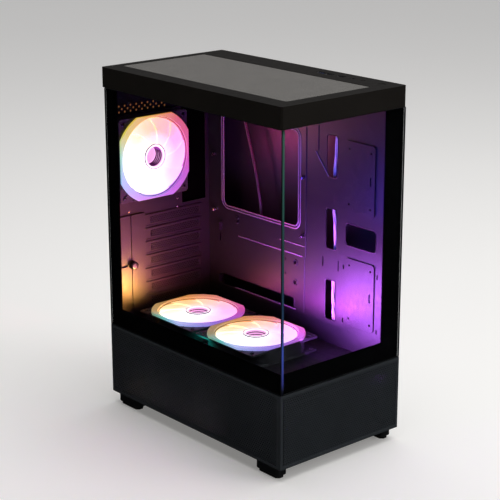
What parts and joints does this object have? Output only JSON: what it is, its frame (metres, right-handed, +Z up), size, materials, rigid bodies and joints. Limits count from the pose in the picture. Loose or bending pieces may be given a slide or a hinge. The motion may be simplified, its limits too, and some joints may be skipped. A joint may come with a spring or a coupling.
{
  "type": "computer case",
  "caption": "Mid-tower computer case with two glass panes that meet at a bare front corner, perforated lower panels, a top filter and three lit fans.",
  "frame": {"origin": "middle of the footprint, on the surface that the feet stand on", "axes": "+Z up, -Y to the front, -X to the side with the large glass pane, +X to the steel side panel"},
  "size_m": [0.216, 0.371, 0.493],
  "materials": {
    "black_steel": "fine satin powder coat",
    "mesh_panel": "perforated sheet, satin black",
    "black_plastic": "fine-grained moulding",
    "tempered_glass": "polished, clear",
    "filter_mesh": "fine woven nylon mesh",
    "light_ring": "milky, lit from inside",
    "milky_blades": "translucent",
    "rubber": "matt",
    "screw_steel": "black zinc",
    "cable_sheath": "satin sheath",
    "circuit_board": "solder mask",
    "blue_socket": "moulded tongue in a steel shell",
    "socket_steel": "plated"
  },
  "bodies": {
    "chassis": {"audio_jack": "black_plastic", "base_pan": "black_steel", "deck_fan_front_frame": "black_plastic", "deck_fan_front_light_ring": "light_ring", "deck_fan_rear_frame": "black_plastic", "deck_fan_rear_light_ring": "light_ring", "drive_caddy_lower": "black_plastic", "drive_caddy_upper": "black_plastic", "drive_cage": "black_steel", "drive_plate_lower": "black_steel", "drive_plate_upper": "black_steel", "fan_cable": "cable_sheath", "foot_front_left": "black_plastic", "foot_front_right": "black_plastic", "foot_pad_front_left": "rubber", "foot_pad_front_right": "rubber", "foot_pad_rear_left": "rubber", "foot_pad_rear_right": "rubber", "foot_rear_left": "black_plastic", "foot_rear_right": "black_plastic", "front_mesh_panel": "mesh_panel", "front_pillar": "black_steel", "front_post": "black_steel", "left_mesh_panel": "mesh_panel", "motherboard_tray": "black_steel", "rear_fan_frame": "black_plastic", "rear_fan_light_ring": "light_ring", "rear_panel": "black_steel", "retainer_thumbscrew": "screw_steel", "slot_cover_1": "black_steel", "slot_cover_2": "black_steel", "slot_cover_3": "black_steel", "slot_cover_4": "black_steel", "slot_cover_5": "black_steel", "slot_cover_6": "black_steel", "slot_cover_7": "black_steel", "slot_retainer": "black_steel", "socket_board": "circuit_board", "socket_cable": "cable_sheath", "supply_shroud": "black_steel", "top_bezel": "black_plastic", "top_frame": "black_steel", "usb_3_socket": "blue_socket", "usb_socket_1": "socket_steel", "usb_socket_2": "socket_steel"},
    "rear_fan_rotor": {"rear_fan_rotor": "milky_blades"},
    "deck_fan_rear_rotor": {"deck_fan_rear_rotor": "milky_blades"},
    "deck_fan_front_rotor": {"deck_fan_front_rotor": "milky_blades"},
    "power_button": {"power_button": "black_plastic"},
    "light_button": {"light_button": "black_plastic"},
    "left_glass": {"left_glass": "tempered_glass", "left_glass_strip": "black_plastic"},
    "front_glass": {"front_glass": "tempered_glass", "front_glass_strip": "black_plastic"},
    "right_panel": {"right_panel": "black_steel", "panel_thumbscrew_lower": "screw_steel", "panel_thumbscrew_upper": "screw_steel"},
    "top_filter": {"top_filter_frame": "rubber", "top_filter_mesh": "filter_mesh"},
    "supply_filter": {"supply_filter": "black_plastic"}
  },
  "joints": [
    {"name": "rear_fan_spin", "type": "hinge", "parent": "chassis", "child": "rear_fan_rotor", "pos_m": [-0.0406, 0.166, 0.3615], "axis": [0, -1, 0], "continuous": true},
    {"name": "deck_fan_rear_spin", "type": "hinge", "parent": "chassis", "child": "deck_fan_rear_rotor", "pos_m": [-0.0155, 0.0934, 0.131], "axis": [0, 0, 1], "continuous": true},
    {"name": "deck_fan_front_spin", "type": "hinge", "parent": "chassis", "child": "deck_fan_front_rotor", "pos_m": [-0.0155, -0.0326, 0.131], "axis": [0, 0, 1], "continuous": true},
    {"name": "power_button_press", "type": "slide", "parent": "chassis", "child": "power_button", "axis": [0, 0, -1], "range_m": [0, 0.0012], "stiffness_N_per_m": 400, "springref_m": -0.0008},
    {"name": "light_button_press", "type": "slide", "parent": "chassis", "child": "light_button", "axis": [0, 0, -1], "range_m": [0, 0.0012], "stiffness_N_per_m": 400, "springref_m": -0.0008},
    {"name": "left_glass_pull", "type": "slide", "parent": "chassis", "child": "left_glass", "axis": [-1, 0, 0], "range_m": [0, 0.05]},
    {"name": "front_glass_pull", "type": "slide", "parent": "chassis", "child": "front_glass", "axis": [0, -1, 0], "range_m": [0, 0.05]},
    {"name": "right_panel_slide", "type": "slide", "parent": "chassis", "child": "right_panel", "axis": [0, 1, 0], "range_m": [0, 0.015]},
    {"name": "top_filter_lift", "type": "slide", "parent": "chassis", "child": "top_filter", "axis": [0, 0, 1], "range_m": [0, 0.03]},
    {"name": "supply_filter_slide", "type": "slide", "parent": "chassis", "child": "supply_filter", "axis": [0, 1, 0], "range_m": [0, 0.145]}
  ]
}
